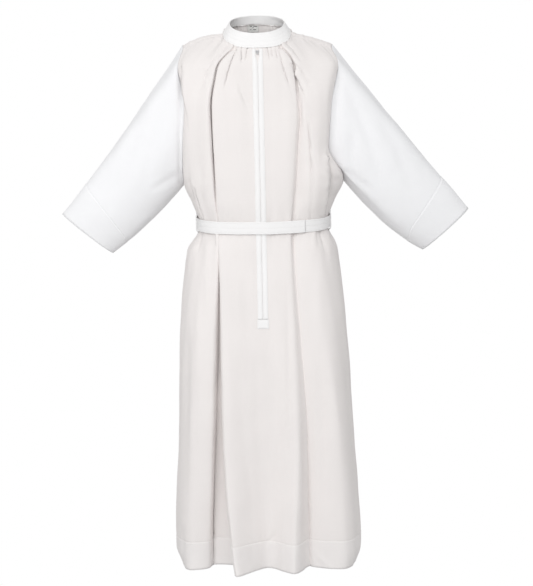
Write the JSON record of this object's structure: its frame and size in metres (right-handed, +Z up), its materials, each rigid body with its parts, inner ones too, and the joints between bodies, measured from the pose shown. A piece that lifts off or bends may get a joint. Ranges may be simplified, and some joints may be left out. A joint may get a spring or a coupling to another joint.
{
  "type": "alb robe",
  "caption": "Long white alb with a stand collar, centre front zip, pleated body, wide straight sleeves and a cloth belt at the waist, filled out and held up at the shoulders.",
  "frame": {"origin": "the neck point, between the shoulders at the foot of the collar, where the robe is held", "axes": "+Z up, front faces -Y, +X to the viewer's right"},
  "size_m": [1.0953, 0.4587, 1.485],
  "materials": {
    "body_cloth": "matt warm white plain weave",
    "sleeve_cloth": "matt white plain weave",
    "trim_cloth": "matt white plain weave, double and topstitched",
    "zip_tape": "matt white woven tape",
    "zip_metal": "satin",
    "label_cloth": "smooth woven label"
  },
  "bodies": {
    "robe": {"front": "body_cloth", "back": "body_cloth", "sleeve_left": "sleeve_cloth", "sleeve_right": "sleeve_cloth", "collar": "trim_cloth", "zip_lip_left": "trim_cloth", "zip_lip_right": "trim_cloth", "zip_tape": "zip_tape", "zip_end_patch": "trim_cloth", "zip_slider": "zip_metal", "belt": "trim_cloth", "belt_loop_left": "trim_cloth", "belt_loop_right": "trim_cloth", "neck_label": "label_cloth"},
    "zip_pull": {"zip_pull_tab": "zip_metal"}
  },
  "joints": [
    {"name": "pull_tab_swing", "type": "hinge", "parent": "robe", "child": "zip_pull", "pos_m": [0, -0.09301, -0.05139], "axis": [-1, 0, 0], "range_deg": [0, 150]}
  ]
}
